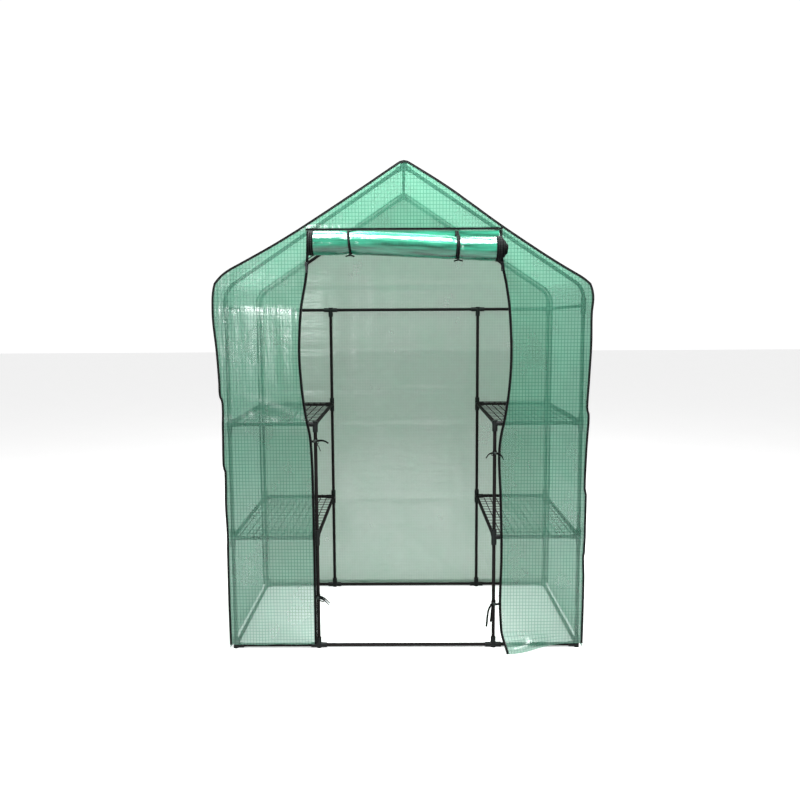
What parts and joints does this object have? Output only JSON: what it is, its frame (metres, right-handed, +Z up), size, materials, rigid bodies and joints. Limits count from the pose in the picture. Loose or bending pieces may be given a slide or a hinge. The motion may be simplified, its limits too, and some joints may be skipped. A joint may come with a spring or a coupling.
{
  "type": "walk-in greenhouse",
  "caption": "Walk-in greenhouse: steel tube frame in plastic connectors, wire shelves beside an aisle, translucent green reinforced cover and a zipped door rolled up under the gable.",
  "frame": {"origin": "centre of the outline's base, on the floor", "axes": "+Z up, +X to the right seen from the front, -Y out of the doorway"},
  "size_m": [1.4296, 0.8228, 1.9438],
  "materials": {
    "steel_tube": "satin dark green-black powder coat",
    "shelf_wire": "satin dark green-black powder coat",
    "connector": "moulded black plastic",
    "cover_film": "translucent green film with a woven reinforcing grid, semi-gloss",
    "black_tape": "woven black tape",
    "zip_metal": "black lacquered metal"
  },
  "bodies": {
    "frame": {"post_front_left": "steel_tube", "post_front_right": "steel_tube", "post_back_left": "steel_tube", "post_back_right": "steel_tube", "inner_post_front_left": "steel_tube", "inner_post_front_right": "steel_tube", "inner_post_back_left": "steel_tube", "inner_post_back_right": "steel_tube", "ground_rail_front": "steel_tube", "ground_rail_back": "steel_tube", "ground_rails_side": "steel_tube", "shelf_rails_low_left": "steel_tube", "shelf_rails_low_right": "steel_tube", "shelf_rails_high_left": "steel_tube", "shelf_rails_high_right": "steel_tube", "eave_rail_back": "steel_tube", "eave_rails_side": "steel_tube", "roof_tube_front_left": "steel_tube", "roof_tube_front_right": "steel_tube", "roof_tube_back_left": "steel_tube", "roof_tube_back_right": "steel_tube", "ridge_tube": "steel_tube", "corner_feet": "connector", "inner_feet": "connector", "shelf_joints_outer": "connector", "shelf_joints_low": "connector", "shelf_joints_high": "connector", "eave_joints_outer": "connector", "eave_joints_inner": "connector", "ridge_joints": "connector", "cover_wall_left": "cover_film", "cover_wall_right": "cover_film", "cover_roof_left": "cover_film", "cover_roof_right": "cover_film", "cover_back": "cover_film", "cover_flap_left": "cover_film", "cover_flap_right": "cover_film", "cover_gable": "cover_film", "door_seam_tape": "black_tape", "zip_tape_left": "black_tape", "zip_tape_right": "black_tape", "zip_slider_left": "zip_metal", "zip_slider_right": "zip_metal", "ties_left": "black_tape", "ties_right": "black_tape", "tie_tails_left": "black_tape", "tie_tails_right": "black_tape"},
    "shelf_low_left": {"shelf_low_left": "shelf_wire"},
    "shelf_low_right": {"shelf_low_right": "shelf_wire"},
    "shelf_high_left": {"shelf_high_left": "shelf_wire"},
    "shelf_high_right": {"shelf_high_right": "shelf_wire"},
    "door_roll": {"door_roll": "cover_film", "roll_strap_left": "black_tape", "roll_strap_right": "black_tape"},
    "zip_pull_left": {"zip_pull_left": "zip_metal"},
    "zip_pull_right": {"zip_pull_right": "zip_metal"}
  },
  "joints": [
    {"name": "shelf_low_left_lift", "type": "slide", "parent": "frame", "child": "shelf_low_left", "axis": [0, 0, 1], "range_m": [0, 0.3]},
    {"name": "shelf_low_right_lift", "type": "slide", "parent": "frame", "child": "shelf_low_right", "axis": [0, 0, 1], "range_m": [0, 0.3]},
    {"name": "shelf_high_left_lift", "type": "slide", "parent": "frame", "child": "shelf_high_left", "axis": [0, 0, 1], "range_m": [0, 0.3]},
    {"name": "shelf_high_right_lift", "type": "slide", "parent": "frame", "child": "shelf_high_right", "axis": [0, 0, 1], "range_m": [0, 0.3]},
    {"name": "door_roll_swing", "type": "hinge", "parent": "frame", "child": "door_roll", "pos_m": [0, -0.3135, 1.678], "axis": [-1, 0, 0], "range_deg": [0, 40]},
    {"name": "zip_pull_left_flip", "type": "hinge", "parent": "frame", "child": "zip_pull_left", "pos_m": [-0.37847, -0.3202, 1.5585], "axis": [-1, 0, 0], "range_deg": [0, 100]},
    {"name": "zip_pull_right_flip", "type": "hinge", "parent": "frame", "child": "zip_pull_right", "pos_m": [0.37847, -0.3202, 1.5585], "axis": [-1, 0, 0], "range_deg": [0, 100]}
  ]
}
